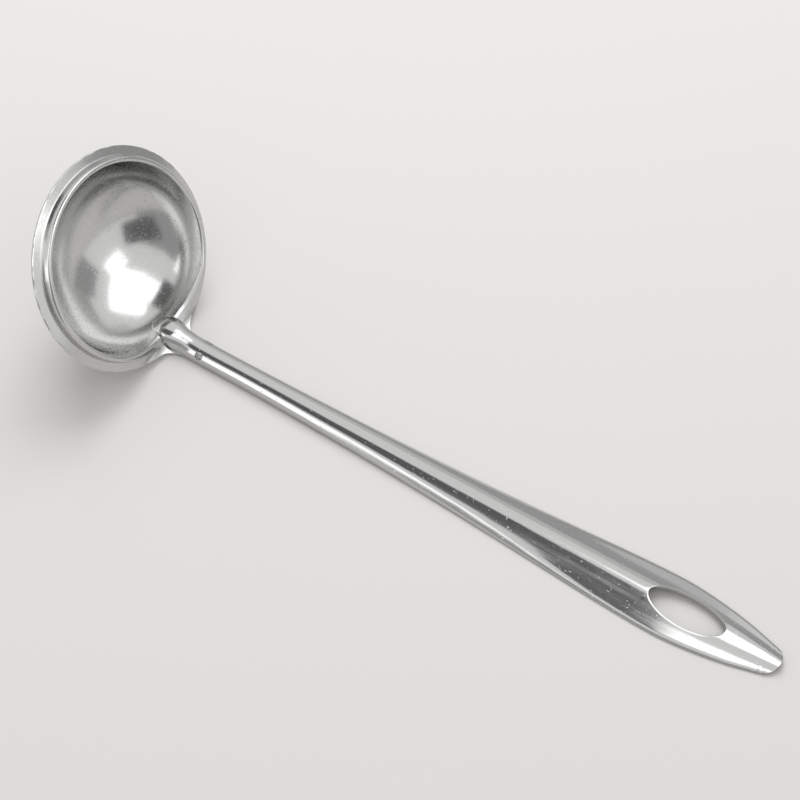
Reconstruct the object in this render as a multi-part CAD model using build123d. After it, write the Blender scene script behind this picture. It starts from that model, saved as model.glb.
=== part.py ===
from build123d import *
import math
import os

# A soup ladle of pressed stainless sheet, lying as it rests on a table: the two
# long edges of the handle are on the ground and the bowl stands on its rim.
# X runs along the handle to its tip, Z is up, all lengths are in millimetres.

# Sheet
sheet = 0.8                 # thickness of both pressings
nest_clearance = 0.1        # between the handle and the tongue inside it
edge_height = 0.6           # upright cut edges of the handle
overrun = 1.0               # how far cutting tools pass the metal

# Bowl
rim_radius = 42.5           # to the cut edge of the brim
brim_width = 3.5            # flat brim outside the bead
bead_height = 2.6           # bead above the brim
bead_lean = 0.8             # how far the bead's outer side leans in
bead_top = 2.4              # width of its top, before rounding
bead_round = 1.2            # radius of its two top corners
brim_round = 0.8            # radius between the brim and the bead
wall_angle = 78             # slope of the straight wall below the bead, degrees
wall_drop = 3.0             # height of that wall
shoulder_round = 22.0       # inside radius between the wall and the bottom
bottom_inset = 0.5          # the bottom's inside radius is this much less than the rim's
bowl_tilt = 58              # brim to the ground when the ladle rests, degrees

# Neck: the brim bends up into a tongue that the handle covers
neck_bend = 9.0             # outside radius of the bend
arm_fillet = 7.0            # hollow corners between the brim and the tongue
arm_half_width = 5.2        # half width where the corners end
arm_overlap = 0.6           # flat length that the arms share with the brim
tongue_length = 26.0        # from the brim's edge, inside the handle

# Handle
handle_length = 262.6       # from the brim's edge to the tip
neck_half = 4.85            # half width near the bowl
end_half = 13.0             # half width beside the hanging hole
neck_height = 5.5           # height of the arch near the bowl
end_height = 4.7            # height of the arch beside the hanging hole
tip_height = 2.6            # height of the arch at the tip
tip_half = 5.5              # half width just before the rounded tip
tip_radius = 6.7            # rounding of the tip, seen from above
nose_reach = 9.5            # how far the tongue's domed nose reaches into the bowl
nose_height = 7.8           # top of the handle over that nose, above the ground
nose_base = 3.6             # where the nose's hidden sides begin
opening_start = 2.0         # from the nose's end to the opening in the wall below it
cover_reach = 6.0           # how far the handle itself reaches into the bowl
cover_round = 6.5           # rounding of that end, seen from above

# Hanging hole
hole_length = 31.4
hole_width = 13.0
hole_to_tip = 38.5          # from the middle of the hole to the tip

# Spot welds through the handle and the tongue, one on each flank
weld_diameter = 3.4
weld_place = 13.5           # from the brim's edge
weld_turn = 46              # from the top of the arch towards its foot, degrees
weld_middle = 0.8           # height of the point that both welds are turned about

# Half of an arch from its foot to its top: share of the half width, share of
# the height. The neck is a deep channel, the end a low roof with soft feet.
neck_arch_shares = [(1.0, 0.0), (0.985, 0.25), (0.93, 0.50), (0.80, 0.74), (0.58, 0.90), (0.30, 0.98), (0.0, 1.0)]
end_arch_shares = [(1.0, 0.0), (0.93, 0.16), (0.81, 0.29), (0.66, 0.42), (0.47, 0.64), (0.25, 0.91), (0.0, 1.0)]

# The handle from the bowl to its widest place: share of the handle's length,
# then how far the width, the height and the form of the arch have gone there
# from the neck's to the end's.
run_shares = [
    (0.040, 0.00, 0.00, 0.00),
    (0.140, 0.01, 0.05, 0.02),
    (0.250, 0.09, 0.15, 0.07),
    (0.360, 0.20, 0.30, 0.18),
    (0.460, 0.35, 0.45, 0.34),
    (0.560, 0.53, 0.60, 0.54),
    (0.660, 0.74, 0.78, 0.77),
    (0.750, 0.92, 0.92, 0.95),
    (0.825, 1.00, 1.00, 1.00),
]
# From there to the tip: share of the length, then how far the width and the
# height have gone from the end's to the tip's.
tip_shares = [
    (0.880, 0.21, 0.15),
    (0.920, 0.40, 0.35),
    (0.955, 0.72, 0.60),
    (1.000, 1.00, 1.00),
]
# The nose inside the bowl: share of its reach, share of the half width, share
# of the way from the handle's height up to the nose's height, share of the way
# down from the nose's hidden base to the ground.
nose_shares = [
    (-1.00, 0.52, -0.05, 0.0),
    (-0.90, 0.86, 0.35, 0.0),
    (-0.68, 1.13, 0.78, 0.0),
    (-0.35, 1.27, 1.00, 0.2),
    (0.00, 1.25, 0.93, 0.75),
    (0.45, 1.05, 0.50, 1.0),
]


def between(start, end, share):
    return start + (end - start) * share


def arch(place, half, top, foot, form):
    """Closed outline of an arch across X, with upright feet of the cut edge's height."""
    height = top - foot
    side = []
    for neck_point, end_point in zip(neck_arch_shares, end_arch_shares):
        across = half * between(neck_point[0], end_point[0], form)
        up = foot + height * between(neck_point[1], end_point[1], form)
        side.append((across, up))
    left = [(place, -across, up) for across, up in side]
    right = [(place, across, up) for across, up in reversed(side[:-1])]
    roof = Spline(*(left + right))
    floor = foot - edge_height
    base = Polyline((place, half, foot), (place, half, floor), (place, -half, floor), (place, -half, foot))
    return make_face(Wire([roof] + list(base.edges())))


def channel(inset, drop, first):
    """Filled form of the handle from a first place on, smaller by inset, its feet lower by drop."""
    rows = []
    for reach, width, rise, down in nose_shares:
        top = between(neck_height, nose_height, rise)
        foot = between(nose_base, edge_height, down)
        rows.append((reach * nose_reach, neck_half * width, top, foot, 0.0))
    for along, width, height, form in run_shares:
        half = between(neck_half, end_half, width)
        top = between(neck_height, end_height, height)
        rows.append((along * handle_length, half, top, edge_height, form))
    for along, width, height in tip_shares:
        half = between(end_half, tip_half, width)
        top = between(end_height, tip_height, height)
        rows.append((along * handle_length, half, top, edge_height, 1.0))
    faces = []
    for place, half, top, foot, form in rows:
        if place > first:
            faces.append(arch(place, half - inset, top - inset, foot - drop, form))
    return loft(faces)


def largest(shape):
    """The piece itself, without crumbs that a cut may leave."""
    return max(shape.solids(), key=lambda solid: solid.volume)


def neck_strip(depth):
    """Bent sheet of the arms, its upper face fixed and its lower face at depth."""
    bend = math.radians(bowl_tilt)
    tangent = neck_bend * math.tan(bend / 2)
    flat_start = neck_bend * bend - tangent
    fillet_height = arm_half_width + arm_fillet
    fillet_reach = math.sqrt((rim_radius + arm_fillet) ** 2 - fillet_height ** 2) - rim_radius
    touch = (rim_radius + fillet_reach) * rim_radius / (rim_radius + arm_fillet) - rim_radius

    def half_at(way):
        if way <= touch:
            return math.sqrt(rim_radius ** 2 - (rim_radius + way) ** 2)
        if way >= fillet_reach:
            return arm_half_width
        return fillet_height - math.sqrt(arm_fillet ** 2 - (way - fillet_reach) ** 2)

    slices = []
    start = tangent + arm_overlap
    along = Vector(math.cos(bend), 0, -math.sin(bend))
    normal = Vector(math.sin(bend), 0, math.cos(bend))
    slices.append((along * -start + normal * sheet, normal, half_at(-start)))
    centre = Vector(tangent, 0, neck_bend)
    arc_steps = 10
    for step in range(arc_steps + 1):
        turn = bend * (1 - step / arc_steps)
        normal = Vector(math.sin(turn), 0, math.cos(turn))
        way = flat_start - neck_bend * turn
        slices.append((centre - normal * (neck_bend - sheet), normal, half_at(way)))
    end = tangent + fillet_reach - flat_start
    slices.append((Vector(end, 0, sheet), Vector(0, 0, 1), arm_half_width))

    faces = []
    for top, normal, half in slices:
        bottom = top - normal * depth
        side = Vector(0, half, 0)
        faces.append(make_face(Polyline(top + side, top - side, bottom - side, bottom + side, close=True)))
    return loft(faces, ruled=True), end


def bowl_line():
    """Upper side of the sheet, from the middle of the bowl's bottom to the brim's edge."""
    slope = math.radians(wall_angle)
    bottom_round = rim_radius - bottom_inset
    bead_foot = rim_radius - brim_width
    bead_outer = bead_foot - bead_lean
    bead_inner = bead_outer - bead_top
    crest = sheet + bead_height
    wall_end = (bead_inner - wall_drop / math.tan(slope), crest - wall_drop)
    side_middle = wall_end[0] - shoulder_round * math.sin(slope)
    side_height = wall_end[1] + shoulder_round * math.cos(slope)
    turn = math.asin(side_middle / (bottom_round - shoulder_round))
    bottom_height = side_height + (bottom_round - shoulder_round) * math.cos(turn)

    def on_bottom(angle):
        return (bottom_round * math.sin(angle), bottom_height - bottom_round * math.cos(angle))

    def on_shoulder(angle):
        return (side_middle + shoulder_round * math.sin(angle), side_height - shoulder_round * math.cos(angle))

    bottom = ThreePointArc(on_bottom(0), on_bottom(turn / 2), on_bottom(turn))
    shoulder = ThreePointArc(on_shoulder(turn), on_shoulder((turn + slope) / 2), wall_end)
    bead = [(bead_inner, crest), (bead_outer, crest), (bead_foot, sheet)]
    rounds = [bead_round, bead_round, brim_round]
    side = FilletPolyline(wall_end, *bead, (rim_radius, sheet), radius=rounds)
    return Wire(list(bottom.edges()) + list(shoulder.edges()) + list(side.edges()))


def main():
    os.makedirs("parts", exist_ok=True)

    # Bowl, turned about its own axis: its sheet, and all that lies below the sheet's
    # upper side and below its lower side
    line = bowl_line()
    lowest = -2 * rim_radius
    rest = Polyline(line @ 1, (rim_radius, lowest), (0, lowest), line @ 0)
    upper_form = revolve(Plane.XZ * make_face(Wire(list(line.edges()) + list(rest.edges()))), Axis.Z)
    ring = revolve(Plane.XZ * make_face(line.offset_2d(sheet, side=Side.RIGHT)), Axis.Z)
    # A quarter turn takes their seams away from the neck
    upper_form = Rotation(0, 0, 90) * upper_form
    ring = Rotation(0, 0, 90) * ring

    # The same laid over on the brim, which ends where the neck's bend starts
    tilt = math.radians(bowl_tilt)
    lay_over = Location((-rim_radius * math.cos(tilt), 0, rim_radius * math.sin(tilt)))
    lay_over = lay_over * Rotation(0, bowl_tilt, 0)
    bend_start = rim_radius - neck_bend * math.tan(tilt / 2)
    brim_end = Pos(bend_start, 0, -overrun) * Box(
        rim_radius, 2 * rim_radius, sheet + overrun, align=(Align.MIN, Align.CENTER, Align.MIN)
    )
    bowl = lay_over * (ring - brim_end)
    lower_form = lay_over * (upper_form - ring)
    upper_form = lay_over * upper_form

    # Handle: its outer form, opened from below and trimmed where it lands on the bowl
    reach = 2 * handle_length
    feet_drop = edge_height + overrun
    outer_form = channel(0, 0, -reach)
    inner_form = channel(sheet, feet_drop, -reach)
    strip, strip_end = neck_strip(sheet)
    below_strip, strip_end = neck_strip(sheet + nose_height)
    cover_middle = Pos(cover_round - cover_reach, 0, 0)
    beyond_cover = cover_middle * Box(reach, reach, reach, align=(Align.MAX, Align.CENTER, Align.CENTER))
    beyond_cover = beyond_cover - cover_middle * Cylinder(cover_round, reach)
    handle = outer_form - inner_form - beyond_cover - upper_form - below_strip

    # Tongue of the bowl, nested inside the handle, with its nose domed out of the bowl's wall
    tongue_form = channel(sheet + nest_clearance, feet_drop, -reach)
    tongue_room = channel(2 * sheet + nest_clearance, 2 * feet_drop, -reach)
    tongue_span = Pos(tongue_length, 0, 0) * Box(reach, reach, reach, align=(Align.MAX, Align.CENTER, Align.MIN))
    tongue = (tongue_form & tongue_span) - tongue_room - lower_form - below_strip
    open_nose = Pos(opening_start - nose_reach, 0, 0) * Box(
        reach, reach, reach, align=(Align.MIN, Align.CENTER, Align.CENTER)
    )
    bowl = bowl - (tongue_room & open_nose)
    bowl = bowl + (strip - tongue_room) + tongue

    # Hanging hole and rounded tip
    hole = Pos(handle_length - hole_to_tip, 0, 0) * extrude(Ellipse(hole_length / 2, hole_width / 2), nose_height)
    tip_start = Pos(handle_length - tip_radius, 0, 0)
    beyond_tip = tip_start * Box(reach, reach, reach, align=(Align.MIN, Align.CENTER, Align.CENTER))
    beyond_tip = beyond_tip - tip_start * Cylinder(tip_radius, reach)
    handle = handle - hole - beyond_tip

    # Spot welds, flush with the handle's outside and with the tongue's inside
    welds = []
    for turn in (-weld_turn, weld_turn):
        stud = Pos(weld_place, 0, weld_middle) * Rotation(turn, 0, 0) * Cylinder(
            weld_diameter / 2, nose_height, align=(Align.CENTER, Align.CENTER, Align.MIN)
        )
        welds.append(largest((stud & outer_form) - tongue_room))
        handle = handle - stud
        bowl = bowl - stud

    # The origin is under the middle of the ladle's length
    pieces = {"bowl": largest(bowl), "handle": largest(handle)}
    back = pieces["bowl"].bounding_box().min.X
    front = pieces["handle"].bounding_box().max.X
    to_origin = Pos(-(back + front) / 2, 0, 0)
    for name, piece in pieces.items():
        export_step(to_origin * piece, "parts/" + name + ".step")
    export_step(Compound([to_origin * weld for weld in welds]), "parts/spot_welds.step")
    print("from the brim's edge to the origin", round((back + front) / 2, 4))


main()
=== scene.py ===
import math

import bmesh
import bpy
from bpy.props import FloatProperty, FloatVectorProperty, PointerProperty
from mathutils import Matrix, Vector


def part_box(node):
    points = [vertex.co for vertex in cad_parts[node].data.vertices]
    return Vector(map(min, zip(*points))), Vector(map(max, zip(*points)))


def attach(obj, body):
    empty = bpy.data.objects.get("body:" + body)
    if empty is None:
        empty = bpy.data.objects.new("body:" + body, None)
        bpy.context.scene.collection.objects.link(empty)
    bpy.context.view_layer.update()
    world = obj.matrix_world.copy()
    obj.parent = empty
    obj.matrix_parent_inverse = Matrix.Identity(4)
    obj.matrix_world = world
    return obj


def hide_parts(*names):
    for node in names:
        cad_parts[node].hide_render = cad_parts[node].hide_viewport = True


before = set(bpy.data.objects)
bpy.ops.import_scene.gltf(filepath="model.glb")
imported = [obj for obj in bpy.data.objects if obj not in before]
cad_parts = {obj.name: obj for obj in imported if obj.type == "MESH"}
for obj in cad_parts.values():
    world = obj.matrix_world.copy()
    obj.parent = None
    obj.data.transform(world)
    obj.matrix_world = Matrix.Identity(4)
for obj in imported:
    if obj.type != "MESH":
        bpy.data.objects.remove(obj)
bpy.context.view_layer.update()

bl_info = {
    "name": "Soup Ladle",
    "version": (1, 0, 0),
    "blender": (4, 5, 0),
    "location": "3D View > Sidebar > Ladle",
    "description": "Builds a pressed stainless soup ladle: bowl, channel handle, spot welds and a studio",
    "category": "Add Mesh",
}

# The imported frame, in metres
HANDLE_LOW, HANDLE_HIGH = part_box("handle")
MM = 0.001

# Sizes that several pieces share, in millimetres and radians. Shapes are worked out from the
# point where the line of the brim's underside meets the ground at the neck, with x towards the
# tip, y across and z up.
HANDLE_LENGTH = 262.6                                # from that point to the tip
NECK_X = HANDLE_HIGH[0] - HANDLE_LENGTH * MM         # that point in the frame
BRIM_TILT = math.radians(58)                         # brim to the ground as the ladle lies
NECK_BEND = 9.0                                      # radius of the bend from the brim to the tongue
NECK_TANGENT = NECK_BEND * math.tan(BRIM_TILT / 2)   # from that point to the bend's end
NEST_CLEARANCE = 0.1                                 # between the handle and the tongue inside it
EDGE_HEIGHT = 0.6                                    # upright cut edges of the handle
NOSE_REACH = 9.5                                     # how far the tongue's nose goes into the bowl
ARM_HALF = 5.2                                       # half width of the tongue's root
ARM_FILLET = 7.0                                     # hollow corners between the brim and that root
ARMS_END = 6.3                                       # place along the neck where the corners end
COVER_END = 9.0                                      # place where the handle is clear of the bowl
HOLE_HALF_LENGTH = 15.7
HOLE_HALF_WIDTH = 6.5
HOLE_TO_TIP = 38.5                                   # from the middle of the hanging hole
TIP_ROUND = 6.7                                      # radius of the tip, seen from above

# Mesh work, in metres and radians
SAME_POINT = 2e-7
CUT_EDGE = 0.00013                                   # softening of the sheet's cut edges
CUT_ANGLE = math.radians(55)
CREASE_ANGLE = math.radians(50)


# Colours and nodes


def linear_from_hex(text):
    """sRGB hex value as linear red, green and blue."""
    parts = [int(text[i:i + 2], 16) / 255 for i in (1, 3, 5)]
    return [p / 12.92 if p <= 0.04045 else ((p + 0.055) / 1.055) ** 2.4 for p in parts]


def rgba(colour):
    """Colour with full opacity."""
    return (colour[0], colour[1], colour[2], 1.0)


def per_metre(size):
    """Scale of a noise whose grains are this many millimetres wide."""
    return 1000 / size


def add_node(tree, kind, settings=None, links=None):
    """Adds a node: settings are attributes or input values, links are sockets for its inputs."""
    node = tree.nodes.new(kind)
    for key, value in (settings or {}).items():
        if isinstance(key, str) and hasattr(node, key):
            setattr(node, key, value)
        else:
            node.inputs[key].default_value = value
    for key, socket in (links or {}).items():
        tree.links.new(socket, node.inputs[key])
    return node


def new_material(name):
    """Empty node material and its tree."""
    material = bpy.data.materials.new(name)
    material.use_nodes = True
    material.node_tree.nodes.clear()
    return material, material.node_tree


# Curves and tables


def ease(value, start, end):
    """Smooth step from 0 at start to 1 at end."""
    t = min(max((value - start) / (end - start), 0.0), 1.0)
    return t * t * (3 - 2 * t)


def between(start, end, share):
    """Value at a share of the way from start to end."""
    return start + (end - start) * share


def smooth_max(first, second, width):
    """The larger of two heights, with a hollow of about this width between them."""
    h = min(max(0.5 + 0.5 * (first - second) / width, 0.0), 1.0)
    return between(second, first, h) + width * h * (1 - h)


def read_table(rows, place):
    """Values of a table at a place, on smooth curves through its rows."""
    if place <= rows[0][0]:
        return rows[0][1:]
    if place >= rows[-1][0]:
        return rows[-1][1:]
    last = len(rows) - 1
    i = max(k for k in range(last) if rows[k][0] <= place)
    a, b = rows[i], rows[i + 1]
    before, after = rows[max(i - 1, 0)], rows[min(i + 2, last)]
    step = b[0] - a[0]
    t = (place - a[0]) / step
    values = []
    for k in range(1, len(a)):
        rise_a = (b[k] - before[k]) / (b[0] - before[0]) * step
        rise_b = (after[k] - a[k]) / (after[0] - a[0]) * step
        values.append(
            (2 * t ** 3 - 3 * t ** 2 + 1) * a[k] + (t ** 3 - 2 * t ** 2 + t) * rise_a
            + (3 * t ** 2 - 2 * t ** 3) * b[k] + (t ** 3 - t ** 2) * rise_b
        )
    return values


def rounded(points, radii, steps):
    """Points along a line whose inner corners are rounded, each by this many steps."""
    most_room_share, nearly_straight = 0.48, math.radians(89.5)
    line = [Vector(points[0])]
    for i, radius in enumerate(radii):
        corner = Vector(points[i + 1])
        back = Vector(points[i]) - corner
        ahead = Vector(points[i + 2]) - corner
        room = most_room_share * min(back.length, ahead.length)
        back.normalize()
        ahead.normalize()
        half = back.angle(ahead) / 2
        if half > nearly_straight:
            for k in range(steps + 1):
                line.append(corner + back * room * (1 - k / steps) + ahead * room * k / steps)
            continue
        reach = min(radius / math.tan(half), room)
        centre = corner + (back + ahead).normalized() * (reach / math.cos(half))
        first = corner + back * reach - centre
        last = corner + ahead * reach - centre
        sweep = math.pi - 2 * half
        for k in range(steps + 1):
            t = k / steps
            turned = first * math.sin((1 - t) * sweep) + last * math.sin(t * sweep)
            line.append(centre + turned / math.sin(sweep))
    line.append(Vector(points[-1]))
    return line


# Outline of the handle, from the bowl to the tip


# Half of an arch from its foot to its top: share of the half width, share of the height
NECK_ARCH_SHARES = [
    (1.0, 0.0), (0.985, 0.25), (0.93, 0.50), (0.80, 0.74), (0.58, 0.90), (0.30, 0.98), (0.0, 1.0),
]
END_ARCH_SHARES = [
    (1.0, 0.0), (0.93, 0.16), (0.81, 0.29), (0.66, 0.42), (0.47, 0.64), (0.25, 0.91), (0.0, 1.0),
]

# An arch is read at a number q, which counts its points from the near foot
TOP = len(NECK_ARCH_SHARES)
FOOT = 2 * TOP


def handle_table(sizes):
    """Rows of place, half width, height, foot height and form of the arch, in millimetres. The
    form is 0 for the round arch of the neck and 1 for the peaked one of the end."""
    neck_half, end_half, tip_half = 4.85, sizes.end_width / MM / 2, 5.5
    neck_top, end_top, tip_top = 5.5, 4.7, 2.6
    nose_top, nose_base = 7.8, 3.6
    # Place, share of the neck's width, share from its height to the nose's, share from the
    # nose's base down to the cut edge
    nose_shares = [
        (-NOSE_REACH, 0.52, -0.05, 0.0), (-8.55, 0.86, 0.35, 0.0), (-6.46, 1.13, 0.78, 0.0),
        (-3.33, 1.27, 1.00, 0.2), (0.0, 1.25, 0.93, 0.75), (4.3, 1.05, 0.50, 1.0),
    ]
    # Share of the length, then shares from the neck's width, height and form to the end's
    run_shares = [
        (0.040, 0.00, 0.00, 0.00), (0.140, 0.01, 0.05, 0.02), (0.250, 0.09, 0.15, 0.07),
        (0.360, 0.20, 0.30, 0.18), (0.460, 0.35, 0.45, 0.34), (0.560, 0.53, 0.60, 0.54),
        (0.660, 0.74, 0.78, 0.77), (0.750, 0.92, 0.92, 0.95), (0.825, 1.00, 1.00, 1.00),
    ]
    # Share of the length, then shares from the end's width and height to the tip's
    tip_shares = [
        (0.864, 0.08, 0.08), (0.899, 0.24, 0.22), (0.918, 0.35, 0.35), (0.937, 0.48, 0.48),
        (0.952, 0.61, 0.58), (0.967, 0.75, 0.70), (1.000, 1.05, 1.00),
    ]
    rows = []
    for place, width, rise, down in nose_shares:
        foot = between(nose_base, EDGE_HEIGHT, down)
        rows.append((place, neck_half * width, between(neck_top, nose_top, rise), foot, 0.0))
    for place, width, height, form in run_shares:
        half, top = between(neck_half, end_half, width), between(neck_top, end_top, height)
        rows.append((place * HANDLE_LENGTH, half, top, EDGE_HEIGHT, form))
    for place, width, height in tip_shares:
        half, top = between(end_half, tip_half, width), between(end_top, tip_top, height)
        rows.append((place * HANDLE_LENGTH, half, top, EDGE_HEIGHT, 1.0))
    return rows


def arch_nodes(rows, place, inset):
    """Points across the arch at a place, from the near foot over the top to the far foot."""
    half, top, foot, form = read_table(rows, place)
    half -= inset
    top -= inset
    side = [(half, foot - EDGE_HEIGHT)]
    for near, far in zip(NECK_ARCH_SHARES, END_ARCH_SHARES):
        across, up = between(near[0], far[0], form), between(near[1], far[1], form)
        side.append((half * across, foot + (top - foot) * up))
    return [(-y, z) for y, z in side] + list(reversed(side[:-1]))


def on_arch(nodes, q):
    """Point of the arch at q, from 0 at the near foot to FOOT at the far one."""
    i = min(max(int(q), 0), len(nodes) - 2)
    t = q - i
    p1, p2 = nodes[i], nodes[i + 1]
    p0 = nodes[max(i - 1, 0)]
    p3 = nodes[min(i + 2, len(nodes) - 1)]
    return [
        0.5 * (2 * b + (c - a) * t + (2 * a - 5 * b + 4 * c - d) * t * t + (3 * b - a - 3 * c + d) * t ** 3)
        for a, b, c, d in zip(p0, p1, p2, p3)
    ]


def q_at(nodes, across):
    """q on the far half of the arch where it is this far from the middle."""
    low, high = TOP, FOOT - 1
    for _ in range(26):
        middle = (low + high) / 2
        if on_arch(nodes, middle)[0] < across:
            low = middle
        else:
            high = middle
    return (low + high) / 2


def arch_height(nodes, across):
    """Height of the arch at a distance from its middle, falling away steeply outside it."""
    half = nodes[-1][0]
    if abs(across) >= half:
        fall = 4
        return nodes[-2][1] - fall * (abs(across) - half)
    return on_arch(nodes, q_at(nodes, abs(across)))[1]


# Sheet and meshes


def world_point(point):
    """Point in the frame, in metres."""
    return (NECK_X + point[0] * MM, point[1] * MM, point[2] * MM)


def join_faces(mesh, vertices, quads):
    """Adds vertices and the faces between them, leaving out corners that repeat."""
    made = [mesh.verts.new(point) for point in vertices]
    for quad in quads:
        corners = []
        for index in quad:
            if made[index] not in corners:
                corners.append(made[index])
        if len(corners) > 2:
            mesh.faces.new(corners)


def grid_faces(rows, across):
    """Faces between rows of points, where each row has one point more than it has faces."""
    wide = across + 1
    return [
        (i * wide + k, (i + 1) * wide + k, (i + 1) * wide + k + 1, i * wide + k + 1)
        for i in range(rows - 1) for k in range(across)
    ]


def turn_up(mesh):
    """Makes the faces of each open sheet look to its upper side."""
    bmesh.ops.recalc_face_normals(mesh, faces=mesh.faces)
    todo = set(mesh.faces)
    while todo:
        island, front = set(), [todo.pop()]
        while front:
            face = front.pop()
            island.add(face)
            for edge in face.edges:
                for other in edge.link_faces:
                    if other in todo:
                        todo.discard(other)
                        front.append(other)
        lean = sum(face.normal.z * face.calc_area() for face in island)
        if lean < 0:
            bmesh.ops.reverse_faces(mesh, faces=list(island))


def merge_points(mesh):
    """Joins points that lie on each other."""
    bmesh.ops.remove_doubles(mesh, verts=mesh.verts, dist=SAME_POINT)


def finish_mesh(mesh, name, thickness, material, bevel=CUT_EDGE):
    """Object from a sheet's upper side: gives it thickness below and softened cut edges."""
    merge_points(mesh)
    loose = [v for v in mesh.verts if not v.link_faces]
    bmesh.ops.delete(mesh, geom=loose, context="VERTS")
    data = bpy.data.meshes.new(name)
    mesh.to_mesh(data)
    mesh.free()
    draft = bpy.data.objects.new(name + "_draft", data)
    bpy.context.collection.objects.link(draft)
    solid = draft.modifiers.new("sheet", "SOLIDIFY")
    solid.thickness = thickness
    solid.offset = -1
    solid.use_quality_normals = True
    if bevel:
        edge = draft.modifiers.new("edges", "BEVEL")
        edge.width = bevel
        edge.segments = 2
        edge.limit_method = "ANGLE"
        edge.angle_limit = CUT_ANGLE
    graph = bpy.context.evaluated_depsgraph_get()
    graph.update()
    final = bpy.data.meshes.new_from_object(draft.evaluated_get(graph))
    bpy.data.objects.remove(draft)
    final.name = name
    final.shade_smooth()
    final.set_sharp_from_angle(angle=CREASE_ANGLE)
    piece = bpy.data.objects.new(name, final)
    bpy.context.collection.objects.link(piece)
    final.materials.clear()
    final.materials.append(material)
    return piece


# Bowl


def bead_share(angle):
    """How much of the bead and of the brim's droop is left at an angle from the neck."""
    return ease(abs(angle), math.radians(7), math.radians(46))


def bowl_profile(sizes, bead):
    """Upper side of the sheet from the bottom's middle to the brim's edge, as radius and height
    over the brim's underside. bead is the share of the bead that is left."""
    sheet = sizes.sheet / MM
    rim = sizes.rim_radius / MM
    wall_end = Vector((rim - 7.2, 0.4))
    slope, softer = math.radians(75), math.radians(8)
    shoulder, bottom = 22.0, rim - 0.5
    bottom_steps, shoulder_steps, corner_steps, brim_steps = 34, 44, 7, 6
    middle = wall_end.x - shoulder * math.sin(slope)
    height = wall_end.y + shoulder * math.cos(slope)
    turn = math.asin(middle / (bottom - shoulder))
    lift = height + (bottom - shoulder) * math.cos(turn)
    line = []
    for k in range(bottom_steps):
        angle = turn * k / bottom_steps
        line.append(Vector((bottom * math.sin(angle), lift - bottom * math.cos(angle))))
    # Where the bead has faded the wall turns outwards sooner and more softly
    flat = 1 - bead
    for k in range(shoulder_steps + 1):
        angle = between(turn, slope - softer * flat, k / shoulder_steps)
        line.append(Vector((middle + shoulder * math.sin(angle), height - shoulder * math.cos(angle))))
    wall_end = line.pop()
    # Over the bead to the brim
    foot = sheet + sizes.droop / MM * bead
    crest = foot + sizes.bead_height / MM * bead
    corners = [
        wall_end, (rim - 5.85 - 1.05 * flat, crest), (rim - 4.0 + 0.8 * flat, crest),
        (rim - 3.6 + 1.3 * flat, foot), (rim, sheet),
    ]
    line += rounded(corners, [0.95 + 1.3 * flat, 0.9, 0.5], corner_steps)
    edge = line.pop()
    last = line[-1]
    line += [last.lerp(edge, k / brim_steps) for k in range(1, brim_steps + 1)]
    return line


def neck_point(sizes, u, v, height):
    """Place of a point of the flat sheet pattern after the brim is laid over and the neck bent."""
    way = u - sizes.rim_radius / MM
    if way <= -NECK_TANGENT:
        along = way * math.cos(BRIM_TILT) + height * math.sin(BRIM_TILT)
        return Vector((along, v, height * math.cos(BRIM_TILT) - way * math.sin(BRIM_TILT)))
    if way <= NECK_BEND * BRIM_TILT - NECK_TANGENT:
        turn = BRIM_TILT - (way + NECK_TANGENT) / NECK_BEND
        reach = NECK_BEND - height
        return Vector((NECK_TANGENT - reach * math.sin(turn), v, NECK_BEND - reach * math.cos(turn)))
    return Vector((way + 2 * NECK_TANGENT - NECK_BEND * BRIM_TILT, v, height))


def strip_height(sizes, place):
    """Height of the upper side of the tongue's root at a place along the neck."""
    sheet = sizes.sheet / MM
    if place > ARMS_END:
        return 0.0
    if place >= NECK_TANGENT:
        return sheet
    reach = NECK_BEND - sheet
    out = NECK_TANGENT - place
    if out < reach * math.sin(BRIM_TILT):
        return NECK_BEND - math.sqrt(reach ** 2 - out ** 2)
    straight = out - reach * math.sin(BRIM_TILT)
    return NECK_BEND - reach * math.cos(BRIM_TILT) + straight * math.tan(BRIM_TILT)


def bowl_angles(touch_angle):
    """Angles of the bowl's columns from the neck, all round and closer together near it."""
    touch_steps, near_steps, far_steps = 36, 24, 66
    near_end = math.radians(30)
    half = [touch_angle * k / touch_steps for k in range(touch_steps)]
    half += [between(touch_angle, near_end, k / near_steps) for k in range(near_steps)]
    half += [between(near_end, math.pi, k / far_steps) for k in range(far_steps)]
    return [-a for a in reversed(half[1:])] + half + [math.pi]


def raise_nose(sizes, columns):
    """Lifts the tongue's domed nose out of the bowl's wall."""
    rows = handle_table(sizes)
    inset = sizes.sheet / MM + NEST_CLEARANCE
    reach, half_width = 14, 9
    fall = 1.5
    for column in columns:
        for point in column:
            if point.x > -reach and abs(point.y) < half_width:
                nodes = arch_nodes(rows, point.x, inset)
                dome = arch_height(nodes, point.y) - fall * max(-NOSE_REACH - point.x, 0)
                point.z = smooth_max(point.z, dome, sizes.nose_hollow / MM)


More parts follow.
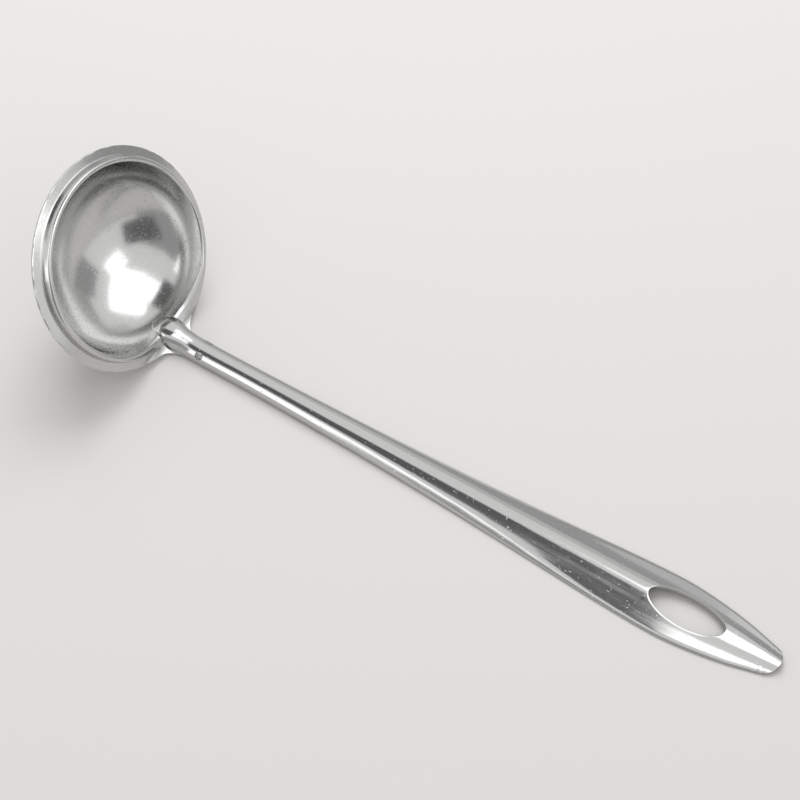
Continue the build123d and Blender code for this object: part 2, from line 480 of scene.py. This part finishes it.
def bowl_sheet(sizes):
    """Points and faces of the bowl, the brim and the tongue's root, in columns round the bowl."""
    sheet = sizes.sheet / MM
    rim = sizes.rim_radius / MM
    fillet_v = ARM_HALF + ARM_FILLET
    fillet_u = math.sqrt((rim + ARM_FILLET) ** 2 - fillet_v ** 2)
    touch_angle = math.atan2(fillet_v, fillet_u)
    root_steps = 16

    columns = []
    for angle in bowl_angles(touch_angle):
        column = []
        for point in bowl_profile(sizes, bead_share(angle)):
            u, v = point.x * math.cos(angle), point.x * math.sin(angle)
            column.append(neck_point(sizes, u, v, point.y))
        # Beyond the rim's circle the sheet goes on into the hollow corners and the tongue
        v = rim * math.sin(angle)
        u = rim * math.cos(angle)
        if abs(angle) < touch_angle - 1e-6:
            end = fillet_u
            if abs(v) > ARM_HALF:
                end = fillet_u - math.sqrt(ARM_FILLET ** 2 - (fillet_v - abs(v)) ** 2)
            for k in range(1, root_steps + 1):
                column.append(neck_point(sizes, between(u, end, k / root_steps), v, sheet))
        columns.append(column)
    raise_nose(sizes, columns)

    vertices, starts, quads = [], [], []
    for column in columns:
        starts.append(len(vertices))
        vertices += [world_point(point) for point in column]
    for i in range(len(columns)):
        follow = (i + 1) % len(columns)
        a, b = starts[i], starts[follow]
        last_a, last_b = len(columns[i]) - 1, len(columns[follow]) - 1
        for k in range(max(last_a, last_b)):
            near = (a + min(k, last_a), a + min(k + 1, last_a))
            far = (b + min(k + 1, last_b), b + min(k, last_b))
            quads.append(near + far)
    return vertices, quads


def tongue_sheet(sizes):
    """Points and faces of the tongue: a smaller arch inside the handle, going on from its root."""
    rows = handle_table(sizes)
    inset = sizes.sheet / MM + NEST_CLEARANCE
    start, end = 1.0, 26.0
    across, along = 36, 22
    vertices = []
    for i in range(along + 1):
        place = between(start, end, i / along)
        nodes = arch_nodes(rows, place, inset)
        low = strip_height(sizes, place)
        for k in range(across + 1):
            y, z = on_arch(nodes, FOOT * k / across)
            vertices.append(world_point((place, y, max(z, low))))
    return vertices, grid_faces(along + 1, across)


def make_bowl(sizes, material):
    """Bowl with its bead and brim, and the tongue that goes on from it inside the handle."""
    mesh = bmesh.new()
    join_faces(mesh, *bowl_sheet(sizes))
    join_faces(mesh, *tongue_sheet(sizes))
    turn_up(mesh)
    return finish_mesh(mesh, "bowl_pressing", sizes.sheet, material)


# Handle


def wall_height(sizes, line, place, across):
    """Height of the bowl's sheet at a place near the neck, without the nose. line is the bowl's
    profile there."""
    low, high = 18.0, sizes.rim_radius / MM - 3.7
    for _ in range(30):
        u = (low + high) / 2
        radius = math.hypot(u, across)
        k = max(i for i in range(len(line)) if line[i].x <= radius) if radius > line[0].x else 0
        k = min(k, len(line) - 2)
        a, b = line[k], line[k + 1]
        height = between(a.y, b.y, (radius - a.x) / max(b.x - a.x, 1e-6))
        point = neck_point(sizes, u, across, height)
        if point.x < place:
            low = u
        else:
            high = u
    return point.z


def flank_end(sizes, line, place, nodes):
    """q where the far flank ends at a place: in the bowl's wall, in the tongue's root or at its foot."""
    wall_end, root_end, overlap = -1.9, 6.6, 0.25
    if place > root_end:
        return FOOT
    low, high = TOP, FOOT
    for _ in range(24):
        q = (low + high) / 2
        y, z = on_arch(nodes, q)
        floor = strip_height(sizes, place) if place > wall_end else wall_height(sizes, line, place, y)
        if z > max(floor - overlap, 0.0):
            low = q
        else:
            high = q
    return low


def covered_rows(sizes, rows, across):
    """Rows of points of the far half, from the rounded end over the nose until it is clear of the bowl."""
    line = bowl_profile(sizes, 0.0)
    cover_middle, cover_round = 0.5, 6.5
    first_guess, passes, along = -5.0, 5, 20
    half_rows = []
    for i in range(along + 1):
        row = []
        for k in range(across + 1):
            place = first_guess
            for _ in range(passes):
                nodes = arch_nodes(rows, place, 0.0)
                q = between(TOP, flank_end(sizes, line, place, nodes), k / across)
                y, z = on_arch(nodes, q)
                start = cover_middle - math.sqrt(max(cover_round ** 2 - y ** 2, 0.01))
                place = between(start, COVER_END, i / along)
            row.append((place, y, z))
        half_rows.append(row)
    return half_rows


def open_rows(rows, across):
    """Rows of points of the far half, from clear of the bowl past the hanging hole to the tip."""
    hole_middle = HANDLE_LENGTH - HOLE_TO_TIP
    hole_start, hole_end = hole_middle - HOLE_HALF_LENGTH, hole_middle + HOLE_HALF_LENGTH
    tip_middle = HANDLE_LENGTH - TIP_ROUND
    run_steps, hole_steps, end_steps, tip_steps = 130, 44, 16, 14
    places = [between(COVER_END, hole_start, k / run_steps) for k in range(1, run_steps + 1)]
    for k in range(1, hole_steps + 1):
        places.append(hole_middle - HOLE_HALF_LENGTH * math.cos(math.pi * k / hole_steps))
    places += [between(hole_end, tip_middle, k / end_steps) for k in range(1, end_steps + 1)]
    for k in range(1, tip_steps + 1):
        places.append(tip_middle + TIP_ROUND * math.sin(math.pi / 2 * k / tip_steps))

    half_rows = []
    for place in places:
        nodes = arch_nodes(rows, place, 0.0)
        start, end = TOP, FOOT
        out = abs(place - hole_middle) / HOLE_HALF_LENGTH
        if out < 1:
            start = q_at(nodes, HOLE_HALF_WIDTH * math.sqrt(1 - out * out))
        if place > tip_middle:
            reach = math.sqrt(max(TIP_ROUND ** 2 - (place - tip_middle) ** 2, 0.0))
            if reach < nodes[-1][0]:
                end = q_at(nodes, reach)
        stops = [between(start, end, k / across) for k in range(across + 1)]
        half_rows.append([(place, *on_arch(nodes, q)) for q in stops])
    return half_rows


def make_handle(sizes, material):
    """Channel handle, open below, from its far half and that half mirrored."""
    rows = handle_table(sizes)
    across = 22
    half_rows = covered_rows(sizes, rows, across) + open_rows(rows, across)
    mesh = bmesh.new()
    for mirror in (1, -1):
        vertices = [world_point((x, mirror * y, z)) for row in half_rows for x, y, z in row]
        faces = grid_faces(len(half_rows), across)
        if mirror < 0:
            faces = [tuple(reversed(face)) for face in faces]
        join_faces(mesh, vertices, faces)
    merge_points(mesh)
    turn_up(mesh)
    return finish_mesh(mesh, "channel_handle", sizes.sheet, material)


# Spot welds


def weld_mark(rows, side):
    """Points and faces of one round weld mark, laid on the handle's flank. side is -1 or 1."""
    place, across, radius, lift = 13.5, 3.75, 1.7, 0.02
    rings, spokes = 7, 36
    stride, near = 0.02, 0.05
    centre_q = q_at(arch_nodes(rows, place, 0.0), across)
    vertices = []
    for i in range(rings + 1):
        reach = radius * i / rings
        for k in range(spokes):
            turn = 2 * math.pi * k / spokes
            here = place + reach * math.cos(turn)
            section = arch_nodes(rows, here, 0.0)
            # Steps of q until the distance along the arch is the reach across
            q, y, z = centre_q, *on_arch(section, centre_q)
            want = reach * math.sin(turn)
            gone, step = 0.0, stride if want > 0 else -stride
            while gone < abs(want):
                ny, nz = on_arch(section, q + step)
                gone += math.hypot(ny - y, nz - z)
                q, y, z = q + step, ny, nz
            ahead = on_arch(section, q + near)
            back = on_arch(section, q - near)
            normal = Vector((-(ahead[1] - back[1]), ahead[0] - back[0])).normalized()
            vertices.append(world_point((here, side * (y + normal.x * lift), z + normal.y * lift)))
    faces = []
    for i in range(rings):
        inner, outer = i * spokes, (i + 1) * spokes
        for k in range(spokes):
            follow = (k + 1) % spokes
            faces.append((inner + k, outer + k, outer + follow, inner + follow))
    return vertices, faces


def make_welds(sizes, material):
    """Two flush weld marks, one on each flank, each deep enough to reach through the handle."""
    rows = handle_table(sizes)
    depth = 0.0009
    mesh = bmesh.new()
    for side in (-1, 1):
        join_faces(mesh, *weld_mark(rows, side))
    merge_points(mesh)
    turn_up(mesh)
    return finish_mesh(mesh, "weld_marks", depth, material, bevel=0.0)


# Finishes


def polished_steel(name, colour, roughness, grain):
    """Buffed stainless sheet: a neutral mirror, blurred a little along fine buffing lines,
    with shallow waves from pressing and sparse bright scratches from use. grain is the size
    of the buffing lines along, across and up, in millimetres."""
    wave_size, speck_size = 14.3, 1.11
    calm, coarse, scratched = roughness * 0.75, roughness * 1.35, 0.45
    line_height_share = 0.06
    material, tree = new_material(name)
    place = add_node(tree, "ShaderNodeTexCoord").outputs["Object"]
    # Real buffing lines are a few hundredths of a millimetre wide, too fine for the picture,
    # so these are as coarse as they need to be to show
    scale = [per_metre(size) for size in grain]
    lined = add_node(tree, "ShaderNodeMapping", {"vector_type": "POINT", "Scale": scale}, {"Vector": place})
    lines = add_node(
        tree, "ShaderNodeTexNoise", {"Scale": 1.0, "Detail": 3.0, "Roughness": 0.6},
        {"Vector": lined.outputs[0]},
    )
    waves = add_node(
        tree, "ShaderNodeTexNoise", {"Scale": per_metre(wave_size), "Detail": 1.0, "Roughness": 0.4},
        {"Vector": place},
    )
    spots = add_node(
        tree, "ShaderNodeTexNoise", {"Scale": per_metre(speck_size), "Detail": 2.0}, {"Vector": place}
    )
    # Only the highest peaks of the noise are scratches
    specks = add_node(
        tree, "ShaderNodeMapRange", {"From Min": 0.66, "From Max": 0.74, "To Min": 0.0, "To Max": 1.0},
        {"Value": spots.outputs["Fac"]},
    )
    rough = add_node(
        tree, "ShaderNodeMapRange", {"From Min": 0.3, "From Max": 0.7, "To Min": calm, "To Max": coarse},
        {"Value": lines.outputs["Fac"]},
    )
    rough = add_node(
        tree, "ShaderNodeMix", {"B": scratched}, {"Factor": specks.outputs[0], "A": rough.outputs[0]}
    )
    heights = add_node(
        tree, "ShaderNodeMath", {"operation": "MULTIPLY_ADD", 1: line_height_share},
        {0: lines.outputs["Fac"], 2: waves.outputs["Fac"]},
    )
    bump = add_node(
        tree, "ShaderNodeBump", {"Strength": 0.07, "Distance": 0.001}, {"Height": heights.outputs[0]}
    )
    shader = add_node(
        tree, "ShaderNodeBsdfPrincipled", {"Base Color": rgba(colour), "Metallic": 1.0},
        {"Roughness": rough.outputs[0], "Normal": bump.outputs[0]},
    )
    add_node(tree, "ShaderNodeOutputMaterial", {}, {"Surface": shader.outputs[0]})
    return material


def weld_steel(colour):
    """Steel that melted under the electrode and was only roughly ground: matt, pitted and
    speckled dark and light."""
    pit_size = 0.5
    material, tree = new_material("ground_spot_weld")
    place = add_node(tree, "ShaderNodeTexCoord").outputs["Object"]
    pits = add_node(
        tree, "ShaderNodeTexNoise", {"Scale": per_metre(pit_size), "Detail": 2.0}, {"Vector": place}
    )
    bump = add_node(
        tree, "ShaderNodeBump", {"Strength": 1.0, "Distance": 0.0006}, {"Height": pits.outputs["Fac"]}
    )
    speckle = add_node(
        tree, "ShaderNodeMapRange", {"From Min": 0.42, "From Max": 0.58, "To Min": 0.3, "To Max": 1.3},
        {"Value": pits.outputs["Fac"]},
    )
    tint = add_node(
        tree, "ShaderNodeVectorMath", {"operation": "MULTIPLY", 0: rgba(colour)[:3]}, {1: speckle.outputs[0]}
    )
    shader = add_node(
        tree, "ShaderNodeBsdfPrincipled", {"Metallic": 1.0, "Roughness": 0.42},
        {"Base Color": tint.outputs[0], "Normal": bump.outputs[0]},
    )
    add_node(tree, "ShaderNodeOutputMaterial", {}, {"Surface": shader.outputs[0]})
    return material


def floor_paper(colour):
    """Pale matt studio paper."""
    material, tree = new_material("studio_paper")
    shader = add_node(tree, "ShaderNodeBsdfPrincipled", {"Base Color": rgba(colour), "Roughness": 0.9})
    add_node(tree, "ShaderNodeOutputMaterial", {}, {"Surface": shader.outputs[0]})
    return material


def card_light(name, strength):
    """Evenly lit or dark studio card."""
    material, tree = new_material(name)
    shader = add_node(tree, "ShaderNodeEmission", {"Strength": strength})
    add_node(tree, "ShaderNodeOutputMaterial", {}, {"Surface": shader.outputs[0]})
    return material


# Studio


def direction(azimuth, elevation):
    """Unit vector towards an azimuth and elevation in degrees."""
    a, e = math.radians(azimuth), math.radians(elevation)
    return Vector((math.cos(e) * math.cos(a), math.cos(e) * math.sin(a), math.sin(e)))


def aim(place, target):
    """Matrix of a lamp at a place that shines at a target."""
    look = (Vector(target) - Vector(place)).normalized()
    return Matrix.Translation(place) @ look.to_track_quat("-Z", "Y").to_matrix().to_4x4()


def add_plane(name, centre, width, height, towards, material):
    """Flat card facing a point, its width level."""
    centre = Vector(centre)
    look = (Vector(towards) - centre).normalized()
    side = look.cross(Vector((0, 0, 1)))
    if side.length < 1e-4:
        side = Vector((1, 0, 0))
    side.normalize()
    up = side.cross(look)
    signs = ((-1, -1), (1, -1), (1, 1), (-1, 1))
    corners = [centre + side * a * width / 2 + up * b * height / 2 for a, b in signs]
    data = bpy.data.meshes.new(name)
    data.from_pydata(corners, [], [(0, 1, 2, 3)])
    data.materials.append(material)
    card = bpy.data.objects.new(name, data)
    bpy.context.collection.objects.link(card)
    return card


def make_floor(sizes):
    """Wide floor just under the ladle."""
    side, drop = 12, 0.0002
    add_plane("studio_floor", (0, 0, -drop), side, side, (0, 0, 1), floor_paper(sizes.floor_colour))


def make_cards(middle):
    """Cards that are only there for the steel to mirror: bright ones for its highlights and dark
    and grey ones between them."""
    cards = [
        # name, centre, point that it faces, width, height, strength
        ("dark_ceiling", (-0.54, -0.07, 1.05), (-0.54, -0.07, 0.0), 0.92, 0.58, 0.15),
        ("window_high", middle + direction(38, 60), middle, 0.88, 0.68, 2.4),
        ("window_top", (0.12, 0.0, 1.08), (0.12, 0.0, 0.0), 0.36, 0.44, 2.2),
        ("window_low", middle + direction(6, 37), middle, 0.42, 0.30, 2.4),
        ("dark_right", middle + direction(-48, 19), middle, 1.00, 0.48, 0.17),
        ("grey_right", middle + direction(42, 13), middle, 0.50, 0.46, 0.42),
        ("near_softbox", (-0.63, -0.80, 0.60), (-0.63, 0.0, 0.60), 0.64, 1.25, 2.0),
        ("near_grey", (0.34, -0.82, 0.45), (0.34, 0.0, 0.45), 1.30, 0.90, 0.45),
        ("far_grey", (-0.3, 1.10, 0.20), (-0.3, 0.0, 0.20), 2.20, 0.50, 0.5),
        ("far_light", (-0.6, 1.12, 0.75), (-0.6, 0.0, 0.75), 1.20, 0.60, 0.75),
    ]
    for name, centre, towards, width, height, strength in cards:
        card = add_plane(name, centre, width, height, towards, card_light(name, strength))
        card.visible_camera = False
        card.visible_diffuse = False
        card.visible_shadow = False


def make_air():
    """White surroundings, full where they are seen or mirrored and softer where they light."""
    lighting, seen_strength = 0.62, 1.0
    world = bpy.data.worlds.new("studio_air")
    bpy.context.scene.world = world
    world.use_nodes = True
    tree = world.node_tree
    tree.nodes.clear()
    rays = add_node(tree, "ShaderNodeLightPath").outputs
    seen = add_node(
        tree, "ShaderNodeMath", {"operation": "ADD"}, {0: rays["Is Camera Ray"], 1: rays["Is Glossy Ray"]}
    )
    seen = add_node(
        tree, "ShaderNodeMath", {"operation": "ADD", "use_clamp": True},
        {0: seen.outputs[0], 1: rays["Is Transmission Ray"]},
    )
    strength = add_node(
        tree, "ShaderNodeMapRange", {"To Min": lighting, "To Max": seen_strength}, {"Value": seen.outputs[0]}
    )
    air = add_node(tree, "ShaderNodeBackground", {"Color": (1, 1, 1, 1)}, {"Strength": strength.outputs[0]})
    add_node(tree, "ShaderNodeOutputWorld", {}, {"Surface": air.outputs[0]})


def make_lamp(middle):
    """Large soft lamp from behind, which the steel doesn't mirror."""
    lamp = bpy.data.lights.new("soft_key", "AREA")
    lamp.shape = "RECTANGLE"
    lamp.size, lamp.size_y = 0.9, 0.9
    lamp.energy = 9.0
    distance = 1.3
    key = bpy.data.objects.new("soft_key", lamp)
    key.matrix_world = aim(middle + direction(120, 52) * distance, middle)
    bpy.context.collection.objects.link(key)
    key.visible_camera = False
    key.visible_glossy = False


def make_stage(sizes):
    """Floor, cards, surroundings and lamp, round a point between the bowl and the hanging hole."""
    middle = Vector((-0.06, 0.0, 0.02))
    make_floor(sizes)
    make_cards(middle)
    make_air()
    make_lamp(middle)


def make_camera():
    """Long lens high on the near side, beyond the handle's tip and with no roll."""
    from_neck, across, up_high = 0.42179, -0.50081, 0.94554
    view = Vector((-0.29577, 0.46294, -0.83558)).normalized()
    right = Vector((0.84269, 0.53840, 0.0)).normalized()
    up = right.cross(view).normalized()
    data = bpy.data.cameras.new("view")
    data.lens = 135
    data.sensor_width = 36
    data.clip_end = 50
    camera = bpy.data.objects.new("view", data)
    turn = Matrix((right, up, -view)).transposed().to_4x4()
    camera.matrix_world = Matrix.Translation((NECK_X + from_neck, across, up_high)) @ turn
    bpy.context.collection.objects.link(camera)
    bpy.context.scene.camera = camera


# Sizes, operators and panel


class LadleSizes(bpy.types.PropertyGroup):
    rim_radius: FloatProperty(
        name="Rim radius", description="From the bowl's axis to the brim's cut edge",
        default=0.0425, min=0.02, max=0.1, precision=4, subtype="DISTANCE", unit="LENGTH",
    )
    sheet: FloatProperty(
        name="Sheet", description="Thickness of both pressings",
        default=0.0008, min=0.0004, max=0.003, precision=4, subtype="DISTANCE", unit="LENGTH",
    )
    bead_height: FloatProperty(
        name="Bead height", description="Height of the raised bead inside the brim",
        default=0.0038, min=0.0, max=0.01, precision=4, subtype="DISTANCE", unit="LENGTH",
    )
    droop: FloatProperty(
        name="Brim droop", description="How far the brim falls from the bead to its edge",
        default=0.0008, min=0.0, max=0.006, precision=4, subtype="DISTANCE", unit="LENGTH",
    )
    nose_hollow: FloatProperty(
        name="Nose hollow", description="Softness of the hollow where the nose rises from the bowl's wall",
        default=0.0009, min=0.0002, max=0.004, precision=4, subtype="DISTANCE", unit="LENGTH",
    )
    end_width: FloatProperty(
        name="End width", description="Width of the handle beside the hanging hole",
        default=HANDLE_HIGH[1] - HANDLE_LOW[1], min=0.01, max=0.06, precision=4, subtype="DISTANCE",
        unit="LENGTH",
    )
    steel_colour: FloatVectorProperty(
        name="Steel", description="Colour that the polished sheet mirrors with",
        default=linear_from_hex("#C2C2C1"), size=3, min=0.0, max=1.0, subtype="COLOR",
    )
    weld_colour: FloatVectorProperty(
        name="Welds", description="Colour of the ground weld marks",
        default=linear_from_hex("#B4B3B1"), size=3, min=0.0, max=1.0, subtype="COLOR",
    )
    floor_colour: FloatVectorProperty(
        name="Floor", description="Colour of the studio paper",
        default=linear_from_hex("#E6E4E1"), size=3, min=0.0, max=1.0, subtype="COLOR",
    )


class LADLE_OT_bowl(bpy.types.Operator):
    """Press the bowl with its brim, bead and nested tongue"""
    bl_idname = "ladle.bowl"
    bl_label = "Bowl"

    def execute(self, context):
        sizes = context.scene.ladle_sizes
        # Buffed without one direction, so its grain is even
        grain = (1.11, 1.11, 1.11)
        steel = polished_steel("buffed_steel_bowl", sizes.steel_colour, 0.17, grain)
        piece = make_bowl(sizes, steel)
        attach(piece, "root")
        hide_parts("bowl")
        return {"FINISHED"}


class LADLE_OT_handle(bpy.types.Operator):
    """Press the channel handle with its rounded end and hanging hole"""
    bl_idname = "ladle.handle"
    bl_label = "Handle"

    def execute(self, context):
        sizes = context.scene.ladle_sizes
        # Buffed lengthwise, so its grain is long and narrow
        grain = (16.7, 0.385, 0.385)
        steel = polished_steel("buffed_steel_handle", sizes.steel_colour, 0.12, grain)
        piece = make_handle(sizes, steel)
        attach(piece, "root")
        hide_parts("handle")
        return {"FINISHED"}


class LADLE_OT_welds(bpy.types.Operator):
    """Spot-weld the handle to the tongue on both flanks"""
    bl_idname = "ladle.welds"
    bl_label = "Spot welds"

    def execute(self, context):
        sizes = context.scene.ladle_sizes
        piece = make_welds(sizes, weld_steel(sizes.weld_colour))
        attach(piece, "root")
        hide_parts("spot_welds")
        return {"FINISHED"}


class LADLE_OT_stage(bpy.types.Operator):
    """Set up the floor, cards, light and camera"""
    bl_idname = "ladle.stage"
    bl_label = "Studio"

    def execute(self, context):
        make_stage(context.scene.ladle_sizes)
        make_camera()
        context.scene.view_settings.view_transform = "Standard"
        return {"FINISHED"}


class LADLE_PT_panel(bpy.types.Panel):
    """Sizes and pieces of the ladle"""
    bl_idname = "LADLE_PT_panel"
    bl_label = "Soup ladle"
    bl_space_type = "VIEW_3D"
    bl_region_type = "UI"
    bl_category = "Ladle"

    def draw(self, context):
        sizes = context.scene.ladle_sizes
        for name in LadleSizes.__annotations__:
            self.layout.prop(sizes, name)
        for operator in OPERATORS:
            self.layout.operator(operator.bl_idname)


OPERATORS = [LADLE_OT_bowl, LADLE_OT_handle, LADLE_OT_welds, LADLE_OT_stage]
CLASSES = [LadleSizes, *OPERATORS, LADLE_PT_panel]


def register():
    for item in CLASSES:
        bpy.utils.register_class(item)
    bpy.types.Scene.ladle_sizes = PointerProperty(type=LadleSizes)


def unregister():
    del bpy.types.Scene.ladle_sizes
    for item in reversed(CLASSES):
        bpy.utils.unregister_class(item)


def main():
    register()
    bpy.ops.ladle.bowl()
    bpy.ops.ladle.handle()
    bpy.ops.ladle.welds()
    bpy.ops.ladle.stage()


if __name__ == "__main__":
    main()
